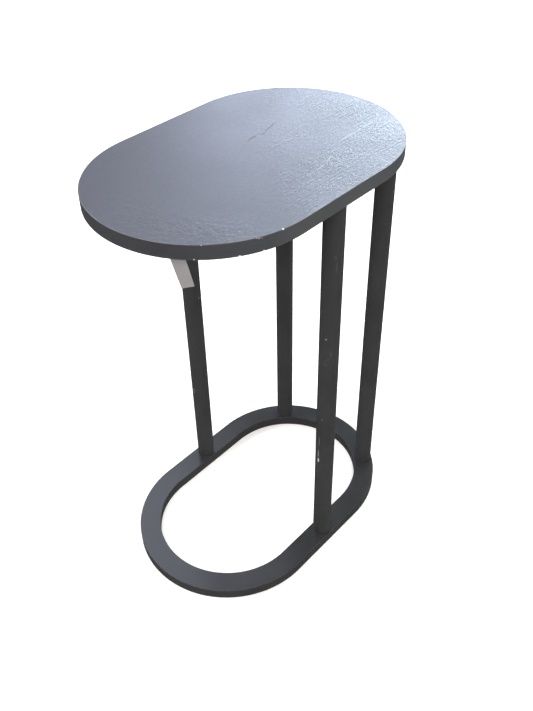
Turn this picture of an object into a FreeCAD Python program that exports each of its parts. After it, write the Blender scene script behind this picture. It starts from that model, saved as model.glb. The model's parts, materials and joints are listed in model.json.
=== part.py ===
import FreeCAD, Part
import math
import os
import Sketcher

# A C shaped side table: an oval wooden top on four round posts over an open oval ring.
# Millimetres, +Z up. +X runs along the oval to the closed end, where the rear posts stand, and the open
# end at -X slides over a seat. +Y is the left side. The origin is on the floor under the middle of the top.

SIZES = [
    # the wooden top
    ("table_height", 640, "floor to the upper face of the top"),
    ("top_length", 450, "oval top, end to end"),
    ("top_width", 300, "oval top, side to side, and the diameter of its round ends"),
    ("top_thickness", 19, "board of the top"),
    ("top_edge_round", 1, "rounding of the upper and lower edge of the top"),
    # the ring on the floor, bent from flat rectangular tube
    ("ring_inset", 1.5, "outline of the ring inside the outline of the top"),
    ("ring_band", 33, "width of the tube, seen from above"),
    ("ring_depth", 17.5, "height of the tube"),
    ("ring_wall", 1.5, "wall of the tube"),
    ("ring_edge_round", 2, "rounding of the outer corners of the tube"),
    ("ring_inner_round", 0.5, "rounding of the corners inside the tube"),
    # the round posts, which stand on the middle line of the ring
    ("post_diameter", 28, "outside of a post"),
    ("post_wall", 1.5, "wall of a post"),
    ("middle_post_offset", 2.5, "middle pair of posts, towards the closed end from the middle of the oval"),
    ("rear_post_angle", 43, "rear pair of posts, round the end arc from the long axis, in degrees"),
    # the plugs that close the posts and take the threads
    ("plug_length", 16, "height of a plug"),
    ("plug_clearance", 0.1, "plug in the bore of its post, on the diameter"),
    ("plug_chamfer", 1, "chamfer on the inner end of a plug"),
    # the threads of the studs and bolts, drawn as plain cylinders
    ("thread_diameter", 8, "studs and bolts"),
    ("thread_clearance", 0.1, "stud or bolt in its threaded hole, on the diameter"),
    ("thread_chamfer", 0.8, "chamfer on the end of a thread"),
    # the inserts in the underside of the top, and the studs in them
    ("insert_cover", 5.5, "wood left over an insert"),
    ("insert_diameter", 12, "over the ridges of an insert"),
    ("insert_ridge", 0.8, "height of a ridge"),
    ("insert_flange_diameter", 18, "flange of an insert"),
    ("insert_flange", 1.4, "thickness of the flange"),
    ("insert_clearance", 0.1, "insert in the wood, on the diameter"),
    ("stud_in_post", 14, "stud below the underside of the top"),
    ("stud_gap", 1, "end of a stud below the end of its insert"),
    # the bolts that hold the ring to the posts
    ("bolt_length", 20, "bolt under its head"),
    ("bolt_head_diameter", 14, "button head"),
    ("bolt_head_height", 4.4, "button head"),
    ("bolt_head_round", 3.2, "rounding of the button head"),
    ("bolt_socket", 5, "hexagon socket, across its flats"),
    ("bolt_socket_depth", 2.6, "hexagon socket"),
    ("bolt_hole", 9, "holes in the upper wall of the ring"),
    ("washer_bore", 8.4, "both washers"),
    ("flat_washer_diameter", 16, "flat washer"),
    ("flat_washer", 1.6, "thickness of a flat washer"),
    ("spring_washer_diameter", 13.8, "split washer"),
    ("spring_washer", 2, "thickness of a split washer"),
    ("spring_washer_slit", 1.2, "slit of a split washer"),
    # the plastic glides pressed into the lower wall of the ring
    ("access_hole", 18, "holes in the lower wall of the ring"),
    ("front_glide_angle", 45, "front pair of glides, round the end arc from the long axis, in degrees"),
    ("glide_diameter", 25, "foot of a glide"),
    ("glide_height", 2, "foot of a glide below the ring"),
    ("glide_chamfer", 0.8, "chamfer round the foot of a glide"),
    ("glide_clearance", 0.2, "stem of a glide in its hole, on the diameter"),
    ("glide_stem_wall", 1.6, "hollow stem of a glide"),
    ("glide_barb", 0.4, "barb of a glide over the edge of its hole"),
    ("glide_barb_height", 1.8, "barb of a glide"),
    # the paper label stuck under the open end
    ("tag_width", 18, "paper label"),
    ("tag_drop", 45.5, "paper label below its fold, along its middle"),
    ("tag_cut", 3, "slant of the cut across the lower end of the label"),
    ("tag_flap", 14, "end of the label that is stuck to the underside"),
    ("tag_thickness", 0.4, "paper label"),
    ("tag_inset", 12.8, "fold of the label inside the edge of the top"),
    ("tag_place_angle", 30, "fold of the label, round the end arc from the long axis, in degrees"),
    ("tag_facing", 25, "turn of the label about the vertical, in degrees"),
    ("tag_lean", 14.5, "lean of the hanging label, in degrees"),
]

INSERT_RIDGES = 4

doc = FreeCAD.newDocument("side_table")
sheet = doc.addObject("Spreadsheet::Sheet", "Sizes")
for row, (alias, size, meaning) in enumerate(SIZES, start=1):
    sheet.set(f"A{row}", meaning)
    sheet.set(f"B{row}", str(size))
    sheet.setAlias(f"B{row}", alias)
doc.recompute()

# Levels, lines and fits that follow from the sizes.
END_RADIUS = "(Sizes.top_width / 2)"
HALF_STRAIGHT = "((Sizes.top_length - Sizes.top_width) / 2)"
UNDERSIDE = "(Sizes.table_height - Sizes.top_thickness)"
RING_RADIUS = f"({END_RADIUS} - Sizes.ring_inset)"
RING_MIDDLE = f"({RING_RADIUS} - Sizes.ring_band / 2)"
RING_TOP = "(Sizes.glide_height + Sizes.ring_depth)"
POST_LENGTH = f"({UNDERSIDE} - {RING_TOP})"
POST_BORE = "(Sizes.post_diameter - 2 * Sizes.post_wall)"
THREAD_HOLE = "(Sizes.thread_diameter + Sizes.thread_clearance)"
INSERT_LENGTH = "(Sizes.top_thickness - Sizes.insert_cover)"
FLAT_WASHER_LEVEL = f"({RING_TOP} - Sizes.ring_wall - Sizes.flat_washer)"
SPRING_WASHER_LEVEL = f"({FLAT_WASHER_LEVEL} - Sizes.spring_washer)"

# Places of the posts and of the glides, all on the middle line of the ring.
REAR_X = f"({HALF_STRAIGHT} + {RING_MIDDLE} * cos(Sizes.rear_post_angle))"
REAR_Y = f"({RING_MIDDLE} * sin(Sizes.rear_post_angle))"
FRONT_X = f"-({HALF_STRAIGHT} + {RING_MIDDLE} * cos(Sizes.front_glide_angle))"
FRONT_Y = f"({RING_MIDDLE} * sin(Sizes.front_glide_angle))"
POST_PLACES = {
    "middle_left": ("Sizes.middle_post_offset", RING_MIDDLE),
    "middle_right": ("Sizes.middle_post_offset", f"-{RING_MIDDLE}"),
    "rear_left": (REAR_X, REAR_Y),
    "rear_right": (REAR_X, f"-{REAR_Y}"),
}
GLIDE_PLACES = {
    **POST_PLACES,
    "front_left": (FRONT_X, FRONT_Y),
    "front_right": (FRONT_X, f"-{FRONT_Y}"),
}


def value_of(expression):
    return float(sheet.evalExpression(expression))


def place(item, x="0", y="0", z="0"):
    for axis, expression in zip("xyz", (x, y, z)):
        item.setExpression(f"Placement.Base.{axis}", expression)


def new_body(label):
    body = doc.addObject("PartDesign::Body", label)
    body.Label = label
    return body


def new_sketch(body, name, role="XY_Plane", level="0"):
    sketch = body.newObject("Sketcher::SketchObject", f"{body.Name}_{name}")
    plane = next(item for item in body.Origin.OriginFeatures if item.Role == role)
    sketch.AttachmentSupport = (plane, [""])
    sketch.MapMode = "FlatFace"
    sketch.setExpression("AttachmentOffset.Base.z", level)
    return sketch


def dimension(sketch, name, kind, *references, size):
    """Add one dimension to a sketch and bind it to an expression of the sizes."""
    index = sketch.addConstraint(Sketcher.Constraint(kind, *references, value_of(size)))
    sketch.renameConstraint(index, name)
    sketch.setExpression(f"Constraints.{name}", size)


def draw_circle(sketch, name, diameter, x="0", y="0"):
    centre = FreeCAD.Vector(value_of(x), value_of(y), 0)
    circle = sketch.addGeometry(Part.Circle(centre, FreeCAD.Vector(0, 0, 1), value_of(diameter) / 2))
    dimension(sketch, f"{name}_diameter", "Diameter", circle, size=diameter)
    dimension(sketch, f"{name}_x", "DistanceX", -1, 1, circle, 3, size=x)
    dimension(sketch, f"{name}_y", "DistanceY", -1, 1, circle, 3, size=y)


def draw_circles(sketch, diameter, places):
    for name, (x, y) in places.items():
        draw_circle(sketch, name, diameter, x, y)


def draw_oval(sketch, name, radius):
    """Two half circles joined by straight sides, about the middle of the sketch."""
    far = value_of(HALF_STRAIGHT)
    reach = value_of(radius)
    up = FreeCAD.Vector(0, 0, 1)
    quarter = math.pi / 2
    right_circle = Part.Circle(FreeCAD.Vector(far, 0, 0), up, reach)
    left_circle = Part.Circle(FreeCAD.Vector(-far, 0, 0), up, reach)
    right_arc = Part.ArcOfCircle(right_circle, -quarter, quarter)
    left_arc = Part.ArcOfCircle(left_circle, quarter, 3 * quarter)
    right = sketch.addGeometry(right_arc)
    upper = sketch.addGeometry(Part.LineSegment(right_arc.EndPoint, left_arc.StartPoint))
    left = sketch.addGeometry(left_arc)
    lower = sketch.addGeometry(Part.LineSegment(left_arc.EndPoint, right_arc.StartPoint))
    for first, second in ((right, upper), (upper, left), (left, lower), (lower, right)):
        sketch.addConstraint(Sketcher.Constraint("Tangent", first, 2, second, 1))
    sketch.addConstraint(Sketcher.Constraint("Horizontal", upper))
    sketch.addConstraint(Sketcher.Constraint("Horizontal", lower))
    sketch.addConstraint(Sketcher.Constraint("PointOnObject", right, 3, -1))
    dimension(sketch, f"{name}_radius", "Radius", right, size=radius)
    dimension(sketch, f"{name}_right", "DistanceX", -1, 1, right, 3, size=HALF_STRAIGHT)
    dimension(sketch, f"{name}_left", "DistanceX", -1, 1, left, 3, size=f"-{HALF_STRAIGHT}")


def draw_outline(sketch, points):
    """A closed outline of straight lines, with each corner bound to its two expressions."""
    corners = [FreeCAD.Vector(value_of(x), value_of(y), 0) for x, y in points]
    sides = [sketch.addGeometry(Part.LineSegment(start, end))
             for start, end in zip(corners, corners[1:] + corners[:1])]
    for number, (x, y) in enumerate(points):
        sketch.addConstraint(Sketcher.Constraint("Coincident", sides[number - 1], 2, sides[number], 1))
        dimension(sketch, f"corner_{number}_x", "DistanceX", -1, 1, sides[number], 1, size=x)
        dimension(sketch, f"corner_{number}_y", "DistanceY", -1, 1, sides[number], 1, size=y)


def pad(body, sketch, length):
    feature = body.newObject("PartDesign::Pad", f"{sketch.Name}_pad")
    feature.Profile = sketch
    feature.setExpression("Length", length)
    doc.recompute()
    return feature


def pocket(body, sketch, depth, upwards=False):
    """Cut the sketch into the body. A pocket has to take material away, or its direction is wrong."""
    before = body.Shape.Volume
    feature = body.newObject("PartDesign::Pocket", f"{sketch.Name}_pocket")
    feature.Profile = sketch
    feature.Reversed = upwards
    feature.setExpression("Length", depth)
    doc.recompute()
    if feature.Shape.Volume >= before:
        raise RuntimeError(f"{feature.Name} cuts nothing")
    return feature


def turned(body, points):
    """A turned piece: its half section, as radius and height, spun about its own upright axis."""
    sketch = new_sketch(body, "section", "XZ_Plane")
    draw_outline(sketch, points)
    feature = body.newObject("PartDesign::Revolution", f"{sketch.Name}_turn")
    feature.Profile = sketch
    feature.ReferenceAxis = (sketch, ["V_Axis"])
    feature.Angle = 360
    doc.recompute()
    return feature


def edges_at(feature, levels):
    """Names of the level edges of a feature that lie at the given heights."""
    names = []
    for number, edge in enumerate(feature.Shape.Edges, start=1):
        box = edge.BoundBox
        if any(abs(box.ZMin - level) < 1e-6 and abs(box.ZMax - level) < 1e-6 for level in levels):
            names.append(f"Edge{number}")
    return names


def dress(body, kind, base, levels, size):
    """Round (Fillet) or bevel (Chamfer) every edge of a feature at the given heights."""
    feature = body.newObject(f"PartDesign::{kind}", f"{base.Name}_{kind}")
    feature.Base = (base, edges_at(base, [value_of(level) for level in levels]))
    feature.setExpression("Radius" if kind == "Fillet" else "Size", size)
    doc.recompute()
    return feature


def group(label, form, level):
    """One node of identical pieces, one at each post, all at the same level."""
    copies = []
    for name, (x, y) in POST_PLACES.items():
        copy = doc.addObject("App::Link", f"{label}_{name}")
        copy.LinkedObject = form
        place(copy, x, y, level)
        copies.append(copy)
    node = doc.addObject("Part::Compound", label)
    node.Label = label
    node.Links = copies
    return node


def make_table_top():
    """The oval board, with blind holes from below for the inserts and their flanges."""
    body = new_body("table_top")
    outline = new_sketch(body, "outline")
    draw_oval(outline, "top", END_RADIUS)
    board = pad(body, outline, "Sizes.top_thickness")
    dress(body, "Fillet", board, ("0", "Sizes.top_thickness"), "Sizes.top_edge_round")
    barrels = new_sketch(body, "insert_holes")
    draw_circles(barrels, "Sizes.insert_diameter + Sizes.insert_clearance", POST_PLACES)
    pocket(body, barrels, INSERT_LENGTH, upwards=True)
    flanges = new_sketch(body, "flange_recesses")
    draw_circles(flanges, "Sizes.insert_flange_diameter + Sizes.insert_clearance", POST_PLACES)
    pocket(body, flanges, "Sizes.insert_flange", upwards=True)
    place(body, z=UNDERSIDE)
    return body


def make_base_ring():
    """The ring of rectangular tube: bolt holes in its upper wall, access holes in its lower wall."""
    form = new_body("ring_form")
    outline = new_sketch(form, "outline")
    draw_oval(outline, "outer", RING_RADIUS)
    draw_oval(outline, "inner", f"{RING_RADIUS} - Sizes.ring_band")
    band = pad(form, outline, "Sizes.ring_depth")
    dress(form, "Fillet", band, ("0", "Sizes.ring_depth"), "Sizes.ring_edge_round")
    bolt_holes = new_sketch(form, "bolt_holes", level="Sizes.ring_depth")
    draw_circles(bolt_holes, "Sizes.bolt_hole", POST_PLACES)
    pocket(form, bolt_holes, "Sizes.ring_depth / 2")
    access_holes = new_sketch(form, "access_holes")
    draw_circles(access_holes, "Sizes.access_hole", GLIDE_PLACES)
    pocket(form, access_holes, "Sizes.ring_depth / 2", upwards=True)

    hollow = new_body("ring_hollow")
    inside = new_sketch(hollow, "outline", level="Sizes.ring_wall")
    draw_oval(inside, "outer", f"{RING_RADIUS} - Sizes.ring_wall")
    draw_oval(inside, "inner", f"{RING_RADIUS} - Sizes.ring_band + Sizes.ring_wall")
    void = pad(hollow, inside, "Sizes.ring_depth - 2 * Sizes.ring_wall")
    levels = ("Sizes.ring_wall", "Sizes.ring_depth - Sizes.ring_wall")
    dress(hollow, "Fillet", void, levels, "Sizes.ring_inner_round")

    for body in (form, hollow):
        place(body, z="Sizes.glide_height")
    ring = doc.addObject("Part::Cut", "base_ring")
    ring.Label = "base_ring"
    ring.Base = form
    ring.Tool = hollow
    return ring


def make_post(name, x, y):
    body = new_body(f"{name}_post")
    section = new_sketch(body, "section")
    draw_circle(section, "outside", "Sizes.post_diameter")
    draw_circle(section, "bore", POST_BORE)
    pad(body, section, POST_LENGTH)
    place(body, x, y, RING_TOP)
    return body


def make_plug(label, x, y, level, chamfered_end):
    """A steel plug in the end of a post, threaded through, bevelled where it goes in."""
    body = new_body(label)
    section = new_sketch(body, "section")
    draw_circle(section, "outside", f"{POST_BORE} - Sizes.plug_clearance")
    blank = pad(body, section, "Sizes.plug_length")
    dress(body, "Chamfer", blank, (chamfered_end,), "Sizes.plug_chamfer")
    thread = new_sketch(body, "thread")
    draw_circle(thread, "bore", THREAD_HOLE)
    pocket(body, thread, "Sizes.plug_length", upwards=True)
    place(body, x, y, level)
    return body


def make_inserts():
    """Flanged inserts with ridges that grip the wood."""
    bore = f"{THREAD_HOLE} / 2"
    ridge = "Sizes.insert_diameter / 2"
    root = f"({ridge} - Sizes.insert_ridge)"
    flange = "Sizes.insert_flange_diameter / 2"
    pitch = f"(({INSERT_LENGTH} - Sizes.insert_flange) / {INSERT_RIDGES})"
    points = [(bore, "0"), (flange, "0"), (flange, "Sizes.insert_flange")]
    for number in range(INSERT_RIDGES):
        start = f"Sizes.insert_flange + {number} * {pitch}"
        points.append((root, start))
        points.append((ridge, f"{start} + {pitch} / 2"))
    points.append((root, INSERT_LENGTH))
    points.append((bore, INSERT_LENGTH))
    body = new_body("insert_form")
    turned(body, points)
    return group("threaded_inserts", body, UNDERSIDE)


def make_studs():
    """Studs with bevelled ends, from the top plugs of the posts up into the inserts."""
    radius = "Sizes.thread_diameter / 2"
    low = "-Sizes.stud_in_post"
    high = f"({INSERT_LENGTH} - Sizes.stud_gap)"
    points = [
        ("0", low),
        (f"{radius} - Sizes.thread_chamfer", low),
        (radius, f"{low} + Sizes.thread_chamfer"),
        (radius, f"{high} - Sizes.thread_chamfer"),
        (f"{radius} - Sizes.thread_chamfer", high),
        ("0", high),
    ]
    body = new_body("stud_form")
    turned(body, points)
    return group("post_studs", body, UNDERSIDE)


def make_bolts():
    """Button head bolts, heads down, driven from below by a hexagon socket."""
    radius = "Sizes.thread_diameter / 2"
    head = "Sizes.bolt_head_diameter / 2"
    points = [
        ("0", "-Sizes.bolt_head_height"),
        (head, "-Sizes.bolt_head_height"),
        (head, "0"),
        (radius, "0"),
        (radius, "Sizes.bolt_length - Sizes.thread_chamfer"),
        (f"{radius} - Sizes.thread_chamfer", "Sizes.bolt_length"),
        ("0", "Sizes.bolt_length"),
    ]
    body = new_body("bolt_form")
    blank = turned(body, points)
    dress(body, "Fillet", blank, ("-Sizes.bolt_head_height",), "Sizes.bolt_head_round")
    socket = new_sketch(body, "socket", level="-Sizes.bolt_head_height")
    corner = "(Sizes.bolt_socket / 2 / cos(30))"
    hexagon = [(f"{corner} * cos({60 * side})", f"{corner} * sin({60 * side})") for side in range(6)]
    draw_outline(socket, hexagon)
    pocket(body, socket, "Sizes.bolt_socket_depth", upwards=True)
    return group("base_bolts", body, SPRING_WASHER_LEVEL)


def make_washer_form(label, diameter, thickness):
    body = new_body(label)
    section = new_sketch(body, "section")
    draw_circle(section, "outside", diameter)
    draw_circle(section, "bore", "Sizes.washer_bore")
    pad(body, section, thickness)
    return body


def make_flat_washers():
    body = make_washer_form("flat_washer_form", "Sizes.flat_washer_diameter", "Sizes.flat_washer")
    return group("flat_washers", body, FLAT_WASHER_LEVEL)


def make_spring_washers():
    """Split washers: a flat ring with a slit across one side."""
    diameter = "Sizes.spring_washer_diameter"
    body = make_washer_form("spring_washer_form", diameter, "Sizes.spring_washer")
    slit = new_sketch(body, "slit")
    half = "Sizes.spring_washer_slit / 2"
    draw_outline(slit, [("0", f"-{half}"), (diameter, f"-{half}"), (diameter, half), ("0", half)])
    pocket(body, slit, "Sizes.spring_washer", upwards=True)
    return group("spring_washers", body, SPRING_WASHER_LEVEL)


def make_glide(name, x, y):
    """A plastic glide: a bevelled foot on the floor, and a hollow stem with a barb inside the tube."""
    foot = "Sizes.glide_diameter / 2"
    stem = "(Sizes.access_hole / 2 - Sizes.glide_clearance / 2)"
    hollow = f"({stem} - Sizes.glide_stem_wall)"
    barb = "(Sizes.access_hole / 2 + Sizes.glide_barb)"
    wall_top = "(Sizes.glide_height + Sizes.ring_wall)"
    barb_low = f"({wall_top} + Sizes.glide_clearance / 2)"
    stem_top = f"({barb_low} + Sizes.glide_barb_height)"
    points = [
        ("0", "0"),
        (f"{foot} - Sizes.glide_chamfer", "0"),
        (foot, "Sizes.glide_chamfer"),
        (foot, "Sizes.glide_height"),
        (stem, "Sizes.glide_height"),
        (stem, barb_low),
        (barb, barb_low),
        (stem, stem_top),
        (hollow, stem_top),
        (hollow, "Sizes.glide_height"),
        ("0", "Sizes.glide_height"),
    ]
    body = new_body(f"{name}_glide")
    turned(body, points)
    place(body, x, y)
    return body


def make_paper_tag():
    """A strip of paper: a flap stuck to the underside of the top, folded, the rest hanging askew."""
    body = new_body("paper_tag")
    slant = "Sizes.tag_drop * sin(Sizes.tag_lean)"
    fall = "Sizes.tag_drop * cos(Sizes.tag_lean)"
    across = "Sizes.tag_width / 2 * cos(Sizes.tag_lean)"
    tilt = "Sizes.tag_width / 2 * sin(Sizes.tag_lean)"
    fold_half = "Sizes.tag_width / 2 / cos(Sizes.tag_lean)"
    shorter = "Sizes.tag_cut * tan(Sizes.tag_lean)"
    hanging = new_sketch(body, "hanging", "YZ_Plane")
    draw_outline(hanging, [
        (f"-{fold_half}", "0"),
        (f"-{slant} - {across} + {shorter}", f"-{fall} + {tilt} + Sizes.tag_cut"),
        (f"-{slant} + {across}", f"-{fall} - {tilt}"),
        (fold_half, "0"),
    ])
    pad(body, hanging, "Sizes.tag_thickness")
    flap = new_sketch(body, "flap", level="-Sizes.tag_thickness")
    draw_outline(flap, [
        ("0", f"-{fold_half}"),
        ("Sizes.tag_flap", f"-{fold_half}"),
        ("Sizes.tag_flap", fold_half),
        ("0", fold_half),
    ])
    pad(body, flap, "Sizes.tag_thickness")
    body.Placement.Rotation = FreeCAD.Rotation(FreeCAD.Vector(0, 0, 1), value_of("Sizes.tag_facing"))
    body.setExpression("Placement.Rotation.Angle", "Sizes.tag_facing")
    reach = f"({END_RADIUS} - Sizes.tag_inset)"
    x = f"-{HALF_STRAIGHT} - {reach} * cos(Sizes.tag_place_angle)"
    y = f"-{reach} * sin(Sizes.tag_place_angle)"
    place(body, x, y, UNDERSIDE)
    return body


nodes = [make_table_top(), make_inserts(), make_studs(), make_base_ring()]
for post_name, (post_x, post_y) in POST_PLACES.items():
    nodes.append(make_post(post_name, post_x, post_y))
    top_level = f"{UNDERSIDE} - Sizes.plug_length"
    nodes.append(make_plug(f"{post_name}_top_plug", post_x, post_y, top_level, "0"))
    nodes.append(make_plug(f"{post_name}_foot_plug", post_x, post_y, RING_TOP, "Sizes.plug_length"))
nodes += [make_bolts(), make_spring_washers(), make_flat_washers()]
for glide_name, (glide_x, glide_y) in GLIDE_PLACES.items():
    nodes.append(make_glide(glide_name, glide_x, glide_y))
nodes.append(make_paper_tag())

doc.recompute()
for item in doc.Objects:
    if "Invalid" in item.State or "Error" in item.State:
        raise RuntimeError(f"{item.Label} did not build: {item.State}")
for node in nodes:
    if node.Shape.isNull() or not node.Shape.isValid():
        raise RuntimeError(f"{node.Label} has no valid shape")

os.makedirs("parts", exist_ok=True)
for node in nodes:
    node.Shape.exportStep(f"parts/{node.Label}.step")
    size = node.Shape.BoundBox
    print(f"{node.Label}: {len(node.Shape.Solids)} solids, {node.Shape.Volume:.0f} mm3,"
          f" z {size.ZMin:.2f} to {size.ZMax:.2f}")
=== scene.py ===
# %% [markdown]
# # A C shaped side table, dressed for its picture
# The table is an oval wooden top on four round steel posts over an oval ring of flat steel tube. Its
# construction is already packed as a fixed frame, with one object for each piece. This lesson loads that
# frame, sets up the camera, builds the finishes as node materials, and then makes the pieces that show from
# a step away as finer meshes: the worn board, the ring, the posts and a paper label. Floor and light come
# last.

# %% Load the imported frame
import json
import math

import bpy
import numpy as np
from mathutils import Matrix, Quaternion, Vector, noise


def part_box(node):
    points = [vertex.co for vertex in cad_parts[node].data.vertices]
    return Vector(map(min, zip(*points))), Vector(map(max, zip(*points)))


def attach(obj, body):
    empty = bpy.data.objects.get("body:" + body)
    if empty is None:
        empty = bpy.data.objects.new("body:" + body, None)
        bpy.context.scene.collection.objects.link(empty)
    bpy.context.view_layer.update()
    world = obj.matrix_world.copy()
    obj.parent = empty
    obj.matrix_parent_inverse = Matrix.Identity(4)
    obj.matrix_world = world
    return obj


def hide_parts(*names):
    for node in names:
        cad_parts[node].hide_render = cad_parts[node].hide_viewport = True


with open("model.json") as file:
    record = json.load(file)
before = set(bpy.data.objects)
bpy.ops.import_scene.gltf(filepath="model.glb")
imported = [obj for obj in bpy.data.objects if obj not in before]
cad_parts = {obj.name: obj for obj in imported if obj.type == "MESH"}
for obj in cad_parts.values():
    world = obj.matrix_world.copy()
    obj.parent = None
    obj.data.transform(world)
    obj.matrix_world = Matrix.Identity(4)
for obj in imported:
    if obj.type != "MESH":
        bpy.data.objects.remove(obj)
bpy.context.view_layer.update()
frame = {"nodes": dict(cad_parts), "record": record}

print("loaded", len(frame["nodes"]), "nodes")

# %% [markdown]
# ## Sizes that come from the frame
# The oval is a rectangle with half-round ends, which two numbers describe: the radius of its ends and half
# the length of its straight sides. They could be typed in again, but then a change to the construction
# would be missed here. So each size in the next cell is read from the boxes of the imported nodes.

# %% Read the sizes
MM = 0.001
POSTS = ("middle_left", "middle_right", "rear_left", "rear_right")

top_low, top_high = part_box("table_top")
ring_low, ring_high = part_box("base_ring")
top_radius = (top_high.y - top_low.y) / 2
half_straight = (top_high.x - top_low.x) / 2 - top_radius
ring_radius = (ring_high.y - ring_low.y) / 2
post_boxes = {name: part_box(f"{name}_post") for name in POSTS}
post_radius = (post_boxes["rear_left"][1].x - post_boxes["rear_left"][0].x) / 2
post_places = {name: (low + high) / 2 for name, (low, high) in post_boxes.items()}
ring_middle = post_places["middle_left"].y
ring_band = 2 * (ring_radius - ring_middle)
print(f"oval: ends {top_radius:.4f} m, half straight {half_straight:.4f} m, tube {ring_band:.4f} m wide")

# %% [markdown]
# ## The camera
# The place, aim, roll and focal length of the camera were worked out from the edges of the oval, the ring
# and the posts in the photograph, so the picture can be laid over it. The picture is upright, so the 36 mm
# sensor lies along its height.

# %% Set the camera
CAMERA_PLACE = Vector((-0.6819, -0.6377, 1.0999))
CAMERA_AIM = Vector((0.0066, -0.0153, 0.3200))
CAMERA_ROLL = math.radians(-1.26)
CAMERA_LENS = 41.61
CAMERA_SENSOR = 36


def link_object(name, data):
    """A new object for some data, linked into the scene."""
    made = bpy.data.objects.new(name, data)
    bpy.context.scene.collection.objects.link(made)
    return made


lens = bpy.data.cameras.new("camera")
lens.lens = CAMERA_LENS
lens.sensor_width = CAMERA_SENSOR
lens.sensor_fit = "AUTO"
camera = link_object("camera", lens)
sight = CAMERA_AIM - CAMERA_PLACE
camera.location = CAMERA_PLACE
camera.rotation_mode = "QUATERNION"
camera.rotation_quaternion = sight.to_track_quat("-Z", "Y") @ Quaternion((0, 0, 1), CAMERA_ROLL)
bpy.context.scene.camera = camera
print(f"camera {sight.length:.3f} m from its aim")

# %% [markdown]
# ## Small helpers for node trees
# Shader trees and geometry trees are both built from nodes and links. One helper adds a node, sets its
# options, and either links or sets each input, so the recipes below stay short enough to read. The others
# are the few steps that nearly every finish needs: arithmetic, mixing, stretching a range, noise and bumps.

# %% Node helpers
def add(tree, kind, inputs=None, **options):
    """Add a node to a tree. Inputs are given by name or number, as a value or as a socket to link."""
    made = tree.nodes.new(kind)
    for option, value in options.items():
        setattr(made, option, value)
    for key, value in (inputs or {}).items():
        if isinstance(value, bpy.types.NodeSocket):
            tree.links.new(value, made.inputs[key])
        else:
            made.inputs[key].default_value = value
    return made


def calculate(tree, operation, *values, clamp=False):
    """One Math node, returning its output socket."""
    inputs = dict(enumerate(values))
    return add(tree, "ShaderNodeMath", inputs, operation=operation, use_clamp=clamp).outputs[0]


def combine(tree, operation, first, *others):
    """Several values joined by one kind of arithmetic, such as a product or the largest of them."""
    joined = first
    for other in others:
        joined = calculate(tree, operation, joined, other)
    return joined


def blend_colours(tree, factor, first, second):
    """Mix two colours by a factor, returning the mixed colour's socket."""
    mixed = add(tree, "ShaderNodeMix", {0: factor, 6: first, 7: second}, data_type="RGBA")
    return mixed.outputs[2]


def fit_range(tree, value, low, high, new_low=0.0, new_high=1.0):
    """Stretch a value from one range to another, smoothly and clamped at both ends."""
    inputs = {0: value, 1: low, 2: high, 3: new_low, 4: new_high}
    return add(tree, "ShaderNodeMapRange", inputs, interpolation_type="SMOOTHSTEP").outputs[0]


def with_vectors(tree, operation, first, second):
    """One Vector Math node on two vectors, returning its output socket."""
    return add(tree, "ShaderNodeVectorMath", {0: first, 1: second}, operation=operation).outputs[0]


def length_of(tree, vector):
    """The length of a vector."""
    return add(tree, "ShaderNodeVectorMath", {0: vector}, operation="LENGTH").outputs["Value"]


def object_place(tree):
    """The place on the object that is being shaded, in metres."""
    return add(tree, "ShaderNodeTexCoord").outputs["Object"]


def noise_at(tree, place, scale, detail, roughness=0.5):
    """Noise at a place, with its scale in cycles per metre."""
    inputs = {"Vector": place, "Scale": scale, "Detail": detail, "Roughness": roughness}
    return add(tree, "ShaderNodeTexNoise", inputs).outputs[0]


def raise_bump(tree, height, strength, depth):
    """A bump from a height, with its depth in metres, returning the bent normal."""
    inputs = {"Height": height, "Strength": strength, "Distance": depth}
    return add(tree, "ShaderNodeBump", inputs).outputs[0]


print("node helpers ready")


# %% Group and material helpers
def name_inputs(tree, inputs):
    """Give a tree named inputs: a tuple makes a vector input, and a number makes a float input."""
    for label, start in inputs.items():
        kind = "NodeSocketVector" if isinstance(start, tuple) else "NodeSocketFloat"
        tree.interface.new_socket(label, in_out="INPUT", socket_type=kind).default_value = start


def new_group(name, inputs, outputs):
    """An empty shader group with named sockets, its input and its output node."""
    tree = bpy.data.node_groups.new(name, "ShaderNodeTree")
    name_inputs(tree, inputs)
    for label in outputs:
        tree.interface.new_socket(label, in_out="OUTPUT", socket_type="NodeSocketFloat")
    return tree, tree.nodes.new("NodeGroupInput"), tree.nodes.new("NodeGroupOutput")


def use_group(tree, group, **values):
    """Place a group in a material, with its own values. Underscores stand for spaces."""
    placed = add(tree, "ShaderNodeGroup", node_tree=group)
    for label, value in values.items():
        placed.inputs[label.replace("_", " ")].default_value = value
    return placed.outputs


def new_material(name, **sockets):
    """A material with its Principled BSDF, whose even values are set on the shader's own sockets."""
    material = bpy.data.materials.new(name)
    material.use_nodes = True
    shader = material.node_tree.nodes["Principled BSDF"]
    for label, value in sockets.items():
        shader.inputs[label.replace("_", " ")].default_value = value
    return material, material.node_tree, shader


def feed(tree, shader, **sources):
    """Link what changes over the surface to the shader. Underscores stand for spaces."""
    for label, source in sources.items():
        tree.links.new(source, shader.inputs[label.replace("_", " ")])


print("group and material helpers ready")

# %% [markdown]
# ## Shared effect: fine relief
# Powder coat, moulded plastic, plated steel and paper all have a fine grain that breaks up a reflection. It
# is far too small to model, so two sizes of noise on Object coordinates stand for it. The group gives a
# height for the bump, and a slow cloudiness that varies the gloss.

# %% Build the fine relief group
CLOUD_RANGE = (0.3, 0.7)

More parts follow.
